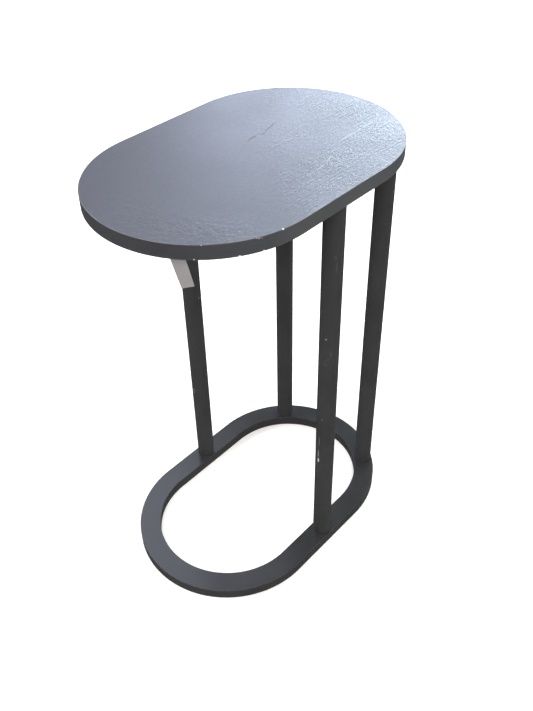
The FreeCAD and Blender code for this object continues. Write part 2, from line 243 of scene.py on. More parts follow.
relief_group, relief_in, relief_out = new_group(
    "fine_relief", {"Scale": 900.0, "Cloud Scale": 9.0}, ("Height", "Cloud"))
place = object_place(relief_group)
peel = noise_at(relief_group, place, relief_in.outputs["Scale"], detail=2.0, roughness=0.6)
cloud = noise_at(relief_group, place, relief_in.outputs["Cloud Scale"], detail=4.0, roughness=0.55)
relief_group.links.new(peel, relief_out.inputs["Height"])
relief_group.links.new(fit_range(relief_group, cloud, *CLOUD_RANGE), relief_out.inputs["Cloud"])
print("group", relief_group.name, "with", len(relief_group.nodes), "nodes")

# %% [markdown]
# ## Shared effect: worn and lit edges
# Paint and stain wear first on rounded edges, and on the coat the same lighter line also paints the
# highlight that the rounded edges of the ring catch. A curvature map could find them, but on this table
# every large face is level or upright, so the rounded edges are just where the surface normal is neither:
# its vertical part lies between 0 and 1. Noise breaks the line into short stretches.

# %% Build the edge wear and highlight group
# Ranges of the normal's vertical part, past the upright faces and short of the level ones
OFF_UPRIGHT = (0.15, 0.5)
OFF_LEVEL = (0.86, 0.985)
EDGE_BREAKUP_CONTRAST = 8.0

# On the coat this mask also carries the painted highlight along the ring's rounded edges.
edge_group, edge_in, edge_out = new_group("worn_and_lit_edge", {"Scale": 60.0, "Threshold": 0.5}, ("Mask",))
normal = add(edge_group, "ShaderNodeNewGeometry").outputs["Normal"]
upwards = add(edge_group, "ShaderNodeSeparateXYZ", {0: normal}).outputs["Z"]
levelness = calculate(edge_group, "ABSOLUTE", upwards)
rising = fit_range(edge_group, levelness, *OFF_UPRIGHT)
falling = fit_range(edge_group, levelness, *OFF_LEVEL, 1.0, 0.0)
place = object_place(edge_group)
breakup = noise_at(edge_group, place, edge_in.outputs["Scale"], detail=5.0, roughness=0.65)
past = calculate(edge_group, "SUBTRACT", breakup, edge_in.outputs["Threshold"])
stretches = calculate(edge_group, "MULTIPLY", past, EDGE_BREAKUP_CONTRAST, clamp=True)
rounded_edge_mask = combine(edge_group, "MULTIPLY", stretches, rising, falling)
edge_group.links.new(rounded_edge_mask, edge_out.inputs["Mask"])
print("group", edge_group.name, "with", len(edge_group.nodes), "nodes")

# %% [markdown]
# ## Shared effect: one rubbed spot
# A chip, a scuff or a scratch is a small patch with a ragged outline. Painting it on a picture would need a
# picture for each piece. The group instead measures the distance from the patch's centre in units of its
# reach along each axis, after a turn about the vertical. Noise is added to that distance before the cut-off.

# %% Build the spot group
NOISE_MIDDLE = 0.5
TEAR_SCALE = 700.0
TEAR_STRENGTH = 4.0
SPOT_RIM = (0.75, 1.0)

spot_group, spot_in, spot_out = new_group(
    "rubbed_spot",
    {"Centre": (0.0, 0.0, 0.0), "Reach": (0.002, 0.002, 0.002), "Turn": 0.0, "Ragged": 0.5},
    ("Mask",))
given = spot_in.outputs
place = object_place(spot_group)
away = with_vectors(spot_group, "SUBTRACT", place, given["Centre"])
turned = add(spot_group, "ShaderNodeVectorRotate", {"Vector": away, "Angle": given["Turn"]},
             rotation_type="Z_AXIS").outputs[0]
far = length_of(spot_group, with_vectors(spot_group, "DIVIDE", turned, given["Reach"]))
tear = noise_at(spot_group, place, TEAR_SCALE, detail=4.0, roughness=0.7)
tear = calculate(spot_group, "SUBTRACT", tear, NOISE_MIDDLE)
ragged = calculate(spot_group, "MULTIPLY", tear, given["Ragged"])
torn = calculate(spot_group, "MULTIPLY_ADD", ragged, TEAR_STRENGTH, far)
spot_group.links.new(fit_range(spot_group, torn, *SPOT_RIM, 1.0, 0.0), spot_out.inputs["Mask"])
print("group", spot_group.name, "with", len(spot_group.nodes), "nodes")

# %% [markdown]
# ## Marks that the photograph shows
# The board has a few pale chips on its edge and two fine scratches, one of them bent and drawn here in three
# strokes; the scratches are paler, partly worn stain and partly a painted highlight along their ridges. The
# middle posts have small scuffs and faint smudges. Each kind has one list, in millimetres, so that a mark is
# easy to move, and the mesh and the material of the board share the list of chips. A mark on a post is given
# by its height, by the direction in which it faces from the post's axis, and by its size.

# %% List the marks
CHIPS = [
    # x, y and z of the centre, then the length along the edge, all in millimetres
    (-106.7, -145.7, 639.7, 3.0),
    (-132.6, -138.4, 637.9, 1.2),
    (-135.6, -137.1, 638.5, 1.5),
    (-138.2, -135.9, 639.3, 1.3),
    (-185.7, -101.1, 639.6, 1.5),
    (-130.7, -139.0, 622.0, 2.2),
    (-155.2, -126.8, 622.0, 2.2),
    (-191.4, -94.3, 622.0, 1.8),
]
SCRATCHES = [
    # both ends on the upper face, in millimetres, then the share of the paler colour: worn stain and painted
    # highlight
    ((86.0, -64.0), (180.0, -63.0), 0.9),
    ((-6.0, -91.0), (24.0, -91.0), 0.35),
    ((16.0, -91.2), (43.0, -87.6), 0.8),
    ((38.0, -88.4), (65.0, -79.8), 1.0),
]
SCUFFS = [
    # post, height, facing in degrees, half width, half height, share of the coat that is gone
    ("middle_right", 191.0, 176.0, 1.5, 5.0, 0.90),
    ("middle_right", 204.0, 175.0, 0.9, 9.0, 0.35),
    ("middle_right", 231.0, 179.0, 0.9, 9.0, 0.15),
    ("middle_right", 276.6, -166.0, 1.5, 2.0, 0.08),
    ("middle_right", 380.0, -162.0, 2.4, 2.4, 0.025),
    ("middle_right", 386.0, -165.0, 1.8, 2.2, 0.015),
    ("middle_right", 390.0, -148.0, 2.2, 2.6, 0.018),
    ("middle_right", 399.5, -133.0, 1.8, 6.5, 0.022),
    ("middle_right", 424.0, -162.0, 1.6, 1.8, 0.22),
    ("middle_right", 537.7, -121.0, 1.3, 8.0, 0.035),
    ("middle_right", 551.0, -130.0, 2.4, 4.0, 0.022),
    ("middle_left", 174.0, 174.0, 1.0, 7.0, 0.25),
    ("middle_left", 364.0, -86.0, 0.9, 1.8, 0.25),
]


def scuff_centre(post, height, facing):
    """The point on a post's surface at a height and facing, in metres."""
    angle = math.radians(facing)
    axis = post_places[post]
    return (axis.x + post_radius * math.cos(angle), axis.y + post_radius * math.sin(angle), height * MM)


print(len(CHIPS), "chips,", len(SCRATCHES), "strokes of scratches and", len(SCUFFS), "scuffs")

# %% [markdown]
# ## Finish: black stained wood
# The board is open-grained wood under a black stain and a satin lacquer. Its grain runs along the oval and
# wanders a little. A picture of wood could be laid over it, but noise stretched along X follows the board at
# any size: it gives wide bands, fine streaks and short open pores. The stain hides most of their colour, so
# they show in the gloss and in the bump.

# %% Draw the grain
DRIFT_SCALE = 5.0
DRIFT_REACH = 20 * MM
# Scales of the noise along and across the grain, in cycles per metre, and the part of its range that shows
BAND_SCALES = (4.0, 45.0)
BAND_RANGE = (0.3, 0.7)
STREAK_SCALES = (7.0, 420.0)
STREAK_RANGE = (0.52, 0.72)
PORE_SCALES = (220.0, 560.0)
PORE_RANGE = (0.35, 0.65)

wood, wood_tree, wood_shader = new_material("stained_wood", IOR=2.0)
wood_place = object_place(wood_tree)
drift = noise_at(wood_tree, wood_place, DRIFT_SCALE, detail=2.0)
drift = calculate(wood_tree, "SUBTRACT", drift, NOISE_MIDDLE)
sideways = calculate(wood_tree, "MULTIPLY", drift, DRIFT_REACH)
shift = add(wood_tree, "ShaderNodeCombineXYZ", {"Y": sideways}).outputs[0]
wandering = with_vectors(wood_tree, "ADD", wood_place, shift)


def along_grain(scale_along, scale_across, detail):
    """Noise drawn out along the wandering grain."""
    scales = (scale_along, scale_across, scale_across)
    stretched = add(wood_tree, "ShaderNodeMapping", {"Vector": wandering, "Scale": scales}).outputs[0]
    return noise_at(wood_tree, stretched, 1.0, detail, roughness=0.55)


bands = fit_range(wood_tree, along_grain(*BAND_SCALES, detail=3.0), *BAND_RANGE)
streaks = fit_range(wood_tree, along_grain(*STREAK_SCALES, detail=0.0), *STREAK_RANGE)
pores = fit_range(wood_tree, along_grain(*PORE_SCALES, detail=3.0), *PORE_RANGE)
print("grain with", len(wood_tree.nodes), "nodes")

# %% [markdown]
# ### Relief that changes over the board
# The lacquer isn't even. Where it is thin, towards the closed end and the near side, the grain stands proud.
# In the middle it lies smooth, and along the rim of the open end the lacquer itself is lumpy. A mask could
# be painted by hand, but ranges of X, of Y and of the distance from the middle of the oval say the same in
# a few lines. Each range below says where its effect starts and where it is full, in metres.

# %% Find where the grain stands proud
CLOSED_END = (-0.06, 0.15)
CLOSED_END_SLANT = -0.6
NEAR_SIDE = (0.06, -0.12)
FAR_SIDE_SHARE = 0.55
PATCH_SCALE = 14.0
PATCH_RANGE = (0.38, 0.62)
PATCH_LEAST = 0.45

axes = add(wood_tree, "ShaderNodeSeparateXYZ", {0: wood_place}).outputs
slanting = calculate(wood_tree, "MULTIPLY_ADD", axes["Y"], CLOSED_END_SLANT, axes["X"])
to_closed_end = fit_range(wood_tree, slanting, *CLOSED_END)
to_near_side = fit_range(wood_tree, axes["Y"], *NEAR_SIDE, FAR_SIDE_SHARE, 1.0)
patchy = noise_at(wood_tree, wood_place, PATCH_SCALE, detail=2.0)
patches = fit_range(wood_tree, patchy, *PATCH_RANGE, PATCH_LEAST, 1.0)
thin_lacquer = combine(wood_tree, "MULTIPLY", to_closed_end, to_near_side, patches)
print("proud grain, with", len(wood_tree.nodes), "nodes so far")

# %% Find the lumpy rim of the open end
RIM = (0.070, 0.125)
OPEN_END = (-0.10, -0.16)
OPEN_NEAR_SIDE = (0.085, 0.045)
LUMP_SCALE = 130.0

past_straight = calculate(wood_tree, "SUBTRACT", calculate(wood_tree, "ABSOLUTE", axes["X"]), half_straight)
past_straight = calculate(wood_tree, "MAXIMUM", past_straight, 0.0)
flat_place = add(wood_tree, "ShaderNodeCombineXYZ", {"X": past_straight, "Y": axes["Y"]}).outputs[0]
from_middle = length_of(wood_tree, flat_place)
open_rim = combine(
    wood_tree, "MULTIPLY",
    fit_range(wood_tree, from_middle, *RIM),
    fit_range(wood_tree, axes["X"], *OPEN_END),
    fit_range(wood_tree, axes["Y"], *OPEN_NEAR_SIDE))
lumps = noise_at(wood_tree, wood_place, LUMP_SCALE, detail=3.0, roughness=0.6)
print("lumpy rim, with", len(wood_tree.nodes), "nodes so far")

# %% Raise the relief
SMOOTH_GRAIN = 0.09
OPEN_RIM_GRAIN = 0.15
PORE_SHARE = 1.3
LUMP_SHARE = 2.6
# Range of the normal's vertical part, from the side of the board to its level faces
LEVEL_FACES = (0.2, 0.7)
SIDE_RELIEF = 0.1
RELIEF_DEPTH = 0.25 * MM

least = calculate(wood_tree, "MULTIPLY_ADD", open_rim, OPEN_RIM_GRAIN, SMOOTH_GRAIN)
proud = calculate(wood_tree, "MAXIMUM", thin_lacquer, least)
grain_height = calculate(wood_tree, "MULTIPLY_ADD", pores, PORE_SHARE, streaks)
grain_height = calculate(wood_tree, "MULTIPLY", grain_height, proud)
lump_height = calculate(wood_tree, "MULTIPLY", lumps, open_rim)
height = calculate(wood_tree, "MULTIPLY_ADD", lump_height, LUMP_SHARE, grain_height)
normal = add(wood_tree, "ShaderNodeNewGeometry").outputs["Normal"]
tilt = add(wood_tree, "ShaderNodeSeparateXYZ", {0: normal}).outputs
level = calculate(wood_tree, "ABSOLUTE", tilt["Z"])
relief_share = fit_range(wood_tree, level, *LEVEL_FACES, SIDE_RELIEF, 1.0)
height = calculate(wood_tree, "MULTIPLY", height, relief_share)
wood_bump = raise_bump(wood_tree, height, strength=1.0, depth=RELIEF_DEPTH)
print("relief, with", len(wood_tree.nodes), "nodes so far")

# %% [markdown]
# ### Colour of the board
# The upper face is nearly black. The side of the board is lighter along its straight edges than round the
# ends, where it faces along the length; that darker tone round the ends is painted shade. The upper edge is
# crisp, and a thin paler line along it is partly wear and partly a painted highlight. Colours are mixed in
# layers, from stain up to wear and painted light.

# %% Stain the board, with painted shade round its ends and a painted highlight along its edge
STAIN_DARK = (0.0060, 0.0049, 0.0045, 1.0)
STAIN_LIGHT = (0.0100, 0.0082, 0.0074, 1.0)
STAIN_SIDE = (0.0390, 0.0370, 0.0320, 1.0)
END_PAINTED_SHADE = (0.0215, 0.0205, 0.0190, 1.0)
STAIN_RUBBED = (0.07, 0.068, 0.066, 1.0)
ARRIS_WEAR_AND_HIGHLIGHT = (0.13, 0.115, 0.098, 1.0)
END_SHADE_FACING = (0.0, 0.4)
EDGE_ROUND = 0.4 * MM
ARRIS_WIDTH = 1.2 * MM
ARRIS_RANGE = (0.35, 0.6)
ARRIS_LEAST = 0.4

half_pores = calculate(wood_tree, "MULTIPLY", pores, 0.5)
stain = blend_colours(wood_tree, calculate(wood_tree, "MULTIPLY_ADD", bands, 0.5, half_pores),
                      STAIN_DARK, STAIN_LIGHT)
upper_face = fit_range(wood_tree, level, *LEVEL_FACES)
# Painted shade: the side is darker where it faces along the length, round the ends.
end_shade = fit_range(wood_tree, calculate(wood_tree, "ABSOLUTE", tilt["X"]), *END_SHADE_FACING)
side_stain_and_shade = blend_colours(wood_tree, end_shade, STAIN_SIDE, END_PAINTED_SHADE)
colour = blend_colours(wood_tree, upper_face, side_stain_and_shade, stain)
edge_wear_and_highlight = use_group(wood_tree, edge_group, Scale=45.0, Threshold=0.50)["Mask"]
colour = blend_colours(wood_tree, edge_wear_and_highlight, colour, STAIN_RUBBED)
# A paler line along the upper edge: partly wear, partly a painted highlight on that edge.
near_edge = fit_range(wood_tree, from_middle, top_radius - ARRIS_WIDTH, top_radius - EDGE_ROUND / 2)
uneven = fit_range(wood_tree, patchy, *ARRIS_RANGE, ARRIS_LEAST, 1.0)
arris_wear_and_highlight = combine(wood_tree, "MULTIPLY", near_edge, upper_face, uneven)
colour = blend_colours(wood_tree, arris_wear_and_highlight, colour, ARRIS_WEAR_AND_HIGHLIGHT)
print("stain, with", len(wood_tree.nodes), "nodes so far")

# %% Add the scratches, the chips and the crack, with painted highlight on the scratches and painted shade in the crack
SCRATCH_WEAR_AND_HIGHLIGHT = (0.14, 0.14, 0.14, 1.0)
CRACK_PAINTED_SHADE = (0.004, 0.004, 0.004, 1.0)
BARE_WOOD = (0.80, 0.76, 0.70, 1.0)
SCRATCH_HALF_WIDTH = 0.7 * MM
SCRATCH_DEPTH = 2.0 * MM
CRACK_CONTRAST = 2.2

chip_masks = []
for x, y, z, size in CHIPS:
    reach = (size * MM / 2, size * MM / 2, size * MM / 3)
    chip = use_group(wood_tree, spot_group, Centre=(x * MM, y * MM, z * MM), Reach=reach, Ragged=0.5)
    chip_masks.append(chip["Mask"])
chipped = combine(wood_tree, "MAXIMUM", *chip_masks)

scratch_masks = []
for (x0, y0), (x1, y1), share in SCRATCHES:
    middle = ((x0 + x1) / 2 * MM, (y0 + y1) / 2 * MM, top_high.z)
    half_length = math.hypot(x1 - x0, y1 - y0) / 2 * MM
    stroke = use_group(wood_tree, spot_group, Centre=middle, Turn=-math.atan2(y1 - y0, x1 - x0),
                       Reach=(half_length, SCRATCH_HALF_WIDTH, SCRATCH_DEPTH), Ragged=0.4)
    scratch_masks.append(calculate(wood_tree, "MULTIPLY", stroke["Mask"], share))
scratch_wear_and_glint = combine(wood_tree, "MAXIMUM", *scratch_masks)

cracked = add(wood_tree, "ShaderNodeAttribute", attribute_name="crack").outputs["Fac"]
cracked = calculate(wood_tree, "MULTIPLY", cracked, CRACK_CONTRAST, clamp=True)
# Paler scratch strokes: partly worn stain, partly a painted highlight along their ridges.
colour = blend_colours(wood_tree, scratch_wear_and_glint, colour, SCRATCH_WEAR_AND_HIGHLIGHT)
colour = blend_colours(wood_tree, chipped, colour, BARE_WOOD)
# Painted shade: the crack's groove is darkened in the colour.
colour = blend_colours(wood_tree, cracked, colour, CRACK_PAINTED_SHADE)
print("marks, with", len(wood_tree.nodes), "nodes so far")

# %% Set the gloss of the board
LACQUER_ROUGHNESS = 0.42
PORE_ROUGHNESS = 0.06
CLOUD_ROUGHNESS = 0.05
BROKEN_ROUGHNESS = 0.45

cloudy = use_group(wood_tree, relief_group, Scale=800.0, Cloud_Scale=8.0)
broken = calculate(wood_tree, "MAXIMUM", chipped, cracked)
roughness = calculate(wood_tree, "MULTIPLY_ADD", pores, PORE_ROUGHNESS, LACQUER_ROUGHNESS)
roughness = calculate(wood_tree, "MULTIPLY_ADD", cloudy["Cloud"], CLOUD_ROUGHNESS, roughness)
roughness = calculate(wood_tree, "MULTIPLY_ADD", broken, BROKEN_ROUGHNESS, roughness)
feed(wood_tree, wood_shader, Base_Color=colour, Roughness=roughness, Normal=wood_bump)
print("material", wood.name, "with", len(wood_tree.nodes), "nodes")

# %% [markdown]
# ## Finish: charcoal powder coat
# The ring and the posts are coated steel, smooth and satin, with a fine orange peel. A plain dark gloss
# would look like plastic film, so the shared relief breaks it up, the rounded edges are a little lighter,
# partly wear and partly a painted highlight along the ring's edges, and the listed scuffs show the pale
# primer.

# %% Build the powder coat
COAT_DARK = (0.0272, 0.0261, 0.0239, 1.0)
COAT_LIGHT = (0.0337, 0.0324, 0.0296, 1.0)
COAT_EDGE_WEAR_AND_HIGHLIGHT = (0.125, 0.125, 0.128, 1.0)
PRIMER = (0.42, 0.42, 0.41, 1.0)
COAT_ROUGHNESS = 0.195
COAT_CLOUD_ROUGHNESS = 0.05
SCUFF_ROUGHNESS = 0.25
PEEL_STRENGTH = 0.12
PEEL_DEPTH = 0.2 * MM

coat, coat_tree, coat_shader = new_material("charcoal_coat", IOR=1.5, Specular_IOR_Level=0.26)
peel = use_group(coat_tree, relief_group, Scale=1100.0, Cloud_Scale=11.0)
edge_wear_and_highlight = use_group(coat_tree, edge_group, Scale=30.0, Threshold=0.40)["Mask"]
scuff_masks = []
for post, height, facing, half_width, half_height, share in SCUFFS:
    centre = scuff_centre(post, height, facing)
    reach = (half_width * MM, half_width * MM, half_height * MM)
    scuff = use_group(coat_tree, spot_group, Centre=centre, Reach=reach, Ragged=0.6)
    scuff_masks.append(calculate(coat_tree, "MULTIPLY", scuff["Mask"], share))
scuffed = combine(coat_tree, "MAXIMUM", *scuff_masks)
colour = blend_colours(coat_tree, peel["Cloud"], COAT_DARK, COAT_LIGHT)
# Lighter rounded edges: partly wear, partly a painted highlight along the ring's edges.
colour = blend_colours(coat_tree, edge_wear_and_highlight, colour, COAT_EDGE_WEAR_AND_HIGHLIGHT)
colour = blend_colours(coat_tree, scuffed, colour, PRIMER)
roughness = calculate(coat_tree, "MULTIPLY_ADD", peel["Cloud"], COAT_CLOUD_ROUGHNESS, COAT_ROUGHNESS)
roughness = calculate(coat_tree, "MULTIPLY_ADD", scuffed, SCUFF_ROUGHNESS, roughness)
coat_bump = raise_bump(coat_tree, peel["Height"], PEEL_STRENGTH, PEEL_DEPTH)
feed(coat_tree, coat_shader, Base_Color=colour, Roughness=roughness, Normal=coat_bump)
print("material", coat.name, "with", len(coat_tree.nodes), "nodes")

# %% [markdown]
# ## Finishes of the small pieces
# The glides are black moulded plastic, the fasteners are zinc plated steel, and the label is uncoated paper,
# whose colour is darkened to paint the shade it hangs in under the board.
# They show little, from below or at the edge of the board, so one recipe serves all three: the shared relief
# with a scale of its own, and colour and gloss that drift a little with its cloudiness.

# %% Build the plastic, the zinc and the paper
SMALL_CLOUD_SCALE = 40.0


def plain_finish(name, dark, light, gloss, scale, strength, **sockets):
    """A material whose colour and roughness drift between two values, over a fine relief."""
    material, tree, shader = new_material(name, **sockets)
    fine = use_group(tree, relief_group, Scale=scale, Cloud_Scale=SMALL_CLOUD_SCALE)
    feed(tree, shader,
         Base_Color=blend_colours(tree, fine["Cloud"], dark, light),
         Roughness=fit_range(tree, fine["Cloud"], 0.0, 1.0, *gloss),
         Normal=raise_bump(tree, fine["Height"], strength, PEEL_DEPTH))
    print("material", name)
    return material


plastic = plain_finish(
    "glide_plastic", dark=(0.010, 0.010, 0.011, 1), light=(0.018, 0.018, 0.019, 1),
    gloss=(0.45, 0.6), scale=1500.0, strength=0.2)
zinc = plain_finish(
    "zinc_steel", dark=(0.50, 0.51, 0.53, 1), light=(0.66, 0.66, 0.67, 1),
    gloss=(0.28, 0.45), scale=2500.0, strength=0.1, Metallic=1.0)
# The paper's colour is darkened to paint the shade it hangs in under the board.
paper = plain_finish(
    "tag_paper", dark=(0.193, 0.176, 0.157, 1), light=(0.225, 0.206, 0.185, 1),
    gloss=(0.75, 0.9), scale=2200.0, strength=0.25)

# %% [markdown]
# ## The oval board
# The board is one solid oval of wood. A curve with a thickness would give its outline, but not the worn
# upper face, so it is one mesh made by formula. Its upper face is a grid of rows along the grain, one
# behind the other: each row spans the oval at its own depth, and the rows are spaced by equal angles round
# the ends, so the outline is even.

# %% Build the board's grid
ROWS = 300
COLUMNS = 180

flat_radius = top_radius - EDGE_ROUND
angles = np.linspace(-math.pi / 2, math.pi / 2, ROWS + 1)
across = flat_radius * np.sin(angles)
half_rows = half_straight + flat_radius * np.cos(angles)
grid_x = half_rows[:, None] * np.linspace(-1, 1, COLUMNS + 1)[None, :]
grid_y = np.repeat(across[:, None], COLUMNS + 1, axis=1)
print("grid", grid_x.shape, "rows", f"{np.max(np.diff(across)) / MM:.2f} mm apart at most")

# %% [markdown]
# ### The crack
# A fine crack runs along the grain near the middle of the board. A dark line in the material alone would
# stay flat when the light moves, so it is a real groove: one row of the grid is led along it, its neighbours
# are drawn close, and the row is pressed down where the crack is open. The material darkens the groove as
# well, which is painted shade.

# %% Lead one row along the crack
# Points along the crack, x and y in millimetres
CRACK_PATH = [
    (20, 23.4), (34, 27.2), (45, 27.6), (49, 25.0), (58, 24.0),
    (62, 28.6), (70, 29.0), (83, 33.2), (90, 32.8),
]
# How far it is open, as a share of its depth, at places along x in millimetres
CRACK_OPEN = [
    (19, 0), (26, 0.55), (40, 0.6), (46, 0), (52, 0.5), (57, 0.5),
    (60, 0), (62, 0.3), (66, 1), (80, 1), (84, 0.4), (91, 0),
]
CRACK_DEPTH = 0.8 * MM
CRACK_HALF_WIDTH = 0.6 * MM
CRACK_SHOULDER = 0.9 * MM
CRACK_SWAY = 14.0 * MM
CRACK_BLEND = 30.0 * MM
CRACK_PULL = 5
CRACK_NEIGHBOURS = {-2: -CRACK_SHOULDER, -1: -CRACK_HALF_WIDTH, 1: CRACK_HALF_WIDTH, 2: CRACK_SHOULDER}

path_x, path_y = (np.array(values) * MM for values in zip(*CRACK_PATH))
open_x, open_share = (np.array(values) for values in zip(*CRACK_OPEN))
crack_row = int(np.argmin(abs(across - path_y.mean())))
crack_x = grid_x[crack_row]
beyond = np.maximum(path_x[0] - crack_x, crack_x - path_x[-1])
sway = np.interp(crack_x, path_x, path_y) - across[crack_row]
sway = sway * np.clip(1 - beyond / CRACK_BLEND, 0, 1)
opening = np.interp(crack_x, open_x * MM, open_share)
grid_y = grid_y + sway[None, :] * np.exp(-((grid_y - across[crack_row]) / CRACK_SWAY) ** 2)
for rows_away, distance in CRACK_NEIGHBOURS.items():
    neighbour = grid_y[crack_row + rows_away]
    drawn = grid_y[crack_row] + distance
    grid_y[crack_row + rows_away] = neighbour + (drawn - neighbour) * np.clip(opening * CRACK_PULL, 0, 1)
print("crack on row", crack_row, "over", int((opening > 0).sum()), "columns")

# %% [markdown]
# ### The ridges and the rim
# The grain stands up in low ridges, which catch the light on a worn board. Noise stretched along the grain
# raises the grid, and fades out before the edge. The outline of the grid is then carried over the rounded
# edge, down the side and under the board, one ring of points at a time.

# %% Raise the ridges
RIDGE_HEIGHT = 0.02 * MM
RIDGE_FADE = 4.0 * MM
RIDGES = [
    # scales along and across the grain in cycles per metre, layer of the noise, share of the height
    (7, 90, 1.7, 0.6),
    (22, 260, 4.2, 0.4),
]


def ridge(x, y):
    """Low ridges along the grain, between -1 and 1."""
    total = 0.0
    for scale_along, scale_across, layer, share in RIDGES:
        total += share * noise.noise(Vector((x * scale_along, y * scale_across, layer)))
    return total


past_end = np.maximum(abs(grid_x) - half_straight, 0)
to_edge = flat_radius - np.hypot(past_end, grid_y)
lift = RIDGE_HEIGHT * np.minimum(1, to_edge / RIDGE_FADE)
grid_z = np.full(grid_x.shape, top_high.z)
for spot in np.ndindex(grid_x.shape):
    grid_z[spot] += lift[spot] * ridge(grid_x[spot], grid_y[spot])
grid_z[crack_row] -= CRACK_DEPTH * opening
print(f"upper face from {grid_z.min() / MM:.2f} to {grid_z.max() / MM:.2f} mm")

# %% Follow the outline round the grid
outline = [(0, column) for column in range(COLUMNS)]
outline += [(row, COLUMNS) for row in range(ROWS)]
outline += [(ROWS, column) for column in range(COLUMNS, 0, -1)]
outline += [(row, 0) for row in range(ROWS, 0, -1)]
rim_x = np.array([grid_x[spot] for spot in outline])
rim_y = np.array([grid_y[spot] for spot in outline])
out_x = np.sign(rim_x) * np.maximum(abs(rim_x) - half_straight, 0)
out_length = np.hypot(out_x, rim_y)
out_x = out_x / out_length
out_y = rim_y / out_length
print(len(outline), "points round the outline")

# %% Carry the outline down and close the board
EDGE_STEPS = 5
# Levels of the side below the upper face, in millimetres, close together where the chips are
SIDE_LEVELS = [1.5, 2.1, 2.8, 3.6, 4.6, 6.5, 9.5, 12.5, 14.8, 16.0, 16.8, 17.5]


def grid_faces(rows, columns):
    """Four-sided faces between the points of a grid, counted row by row."""
    step = columns + 1
    firsts = [row * step + column for row in range(rows) for column in range(columns)]
    return [(first, first + 1, first + step + 1, first + step) for first in firsts]


thickness = top_high.z - top_low.z
quarter = np.linspace(0, math.pi / 2, EDGE_STEPS + 1)[1:]
upper_edge = [(EDGE_ROUND * math.sin(angle), EDGE_ROUND * (1 - math.cos(angle))) for angle in quarter]
side = [(EDGE_ROUND, depth * MM) for depth in SIDE_LEVELS]
lower_edge = [(out, thickness - drop) for out, drop in reversed(upper_edge)]
points = list(zip(grid_x.ravel(), grid_y.ravel(), grid_z.ravel()))
faces = grid_faces(ROWS, COLUMNS)
above = [row * (COLUMNS + 1) + column for row, column in outline]
for out, drop in upper_edge + side + lower_edge + [(0.0, thickness)]:
    below = list(range(len(points), len(points) + len(outline)))
    ring_points = zip(rim_x + out_x * out, rim_y + out_y * out)
    points += [(x, y, top_high.z - drop) for x, y in ring_points]
    for here in range(len(outline)):
        after = (here + 1) % len(outline)
        faces.append((above[here], below[here], below[after], above[after]))
    above = below
faces.append(tuple(reversed(above)))
print(len(points), "points and", len(faces), "faces in the board")

# %% [markdown]
# ### The chips, and the finished board
# Small splinters have broken out of both edges. Cutting them with booleans would leave sharp facets, so the
# points near each chip are pushed inwards, the more the nearer they are, with noise for a torn outline. How
# far the crack is open is stored on the points, where the material reads it.

# %% Chip the edge and make the mesh
CHIP_DEPTH = 0.45 * MM
CHIP_RIM = 1.2
CHIP_TEAR = 0.35
CHIP_TEAR_SCALE = 1500


def chipped_point(point):
    """Push a point of the board inwards where a chip has broken away."""
    x, y, z = point
    centre_x = math.copysign(min(abs(x), half_straight), x)
    from_side = Vector((centre_x - x, -y, 0)).normalized()
    from_face = Vector((0, 0, -1 if z > top_low.z + thickness / 2 else 1))
    moved = Vector(point)
    for chip_x, chip_y, chip_z, size in CHIPS:
        away = (Vector(point) - Vector((chip_x, chip_y, chip_z)) * MM).length / (size * MM / 2)
        torn_away = away + CHIP_TEAR * noise.noise(Vector(point) * CHIP_TEAR_SCALE)
        if torn_away < CHIP_RIM:
            moved += (from_side + from_face) * CHIP_DEPTH * min(1, CHIP_RIM - torn_away)
    return moved


def new_piece(name, mesh, material, slot, *nodes):
    """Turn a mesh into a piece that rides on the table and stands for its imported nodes."""
    piece = link_object(name, mesh)
    mesh.materials.clear()
    mesh.materials.append(material)
    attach(piece, "root")
    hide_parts(*nodes)
    print("piece", name, "with", len(mesh.polygons), "faces")


board_mesh = bpy.data.meshes.new("oval_board")
board_mesh.from_pydata([chipped_point(point) for point in points], [], faces)
board_mesh.validate()
crack_shares = np.zeros(len(points), dtype=np.float32)
crack_shares[crack_row * (COLUMNS + 1):(crack_row + 1) * (COLUMNS + 1)] = opening
board_mesh.attributes.new("crack", "FLOAT", "POINT").data.foreach_set("value", crack_shares)
board_mesh.shade_smooth()
new_piece("oval_board", board_mesh, wood, "top_wood", "table_top")

# %% [markdown]
# ## The ring on the floor
# The ring is one flat tube bent round an oval, so its shape follows a rule: a section swept along a path.
# Modelling it point by point would hide that rule. In Geometry Nodes a rectangle with fully filleted corners
# is the oval path, and a plain rectangle is the section. A Bevel modifier then rounds the four long edges,
# and keeps the flats flat.

# %% Geometry helpers
BEVEL_STEPS = 5
BEVEL_ANGLE = math.radians(60)


def new_geometry_tree(name, inputs):
    """An empty geometry tree with named inputs, and its input and output node."""
    tree = bpy.data.node_groups.new(name, "GeometryNodeTree")
    name_inputs(tree, inputs)
    tree.interface.new_socket("Geometry", in_out="OUTPUT", socket_type="NodeSocketGeometry")
    return tree, tree.nodes.new("NodeGroupInput").outputs, tree.nodes.new("NodeGroupOutput")


def finish_tree(tree, geometry, output, material):
    """Close a geometry tree with real geometry and its material."""
    real = add(tree, "GeometryNodeRealizeInstances", {0: geometry}).outputs[0]
    coated = add(tree, "GeometryNodeSetMaterial", {"Geometry": real, "Material": material}).outputs[0]
    tree.links.new(coated, output.inputs["Geometry"])


def plain_mesh(host):
    """Apply the modifiers of an object, remove it, and return its plain mesh."""
    bpy.context.view_layer.update()
    evaluated = host.evaluated_get(bpy.context.evaluated_depsgraph_get())
    mesh = bpy.data.meshes.new_from_object(evaluated)
    bpy.data.objects.remove(host)
    return mesh


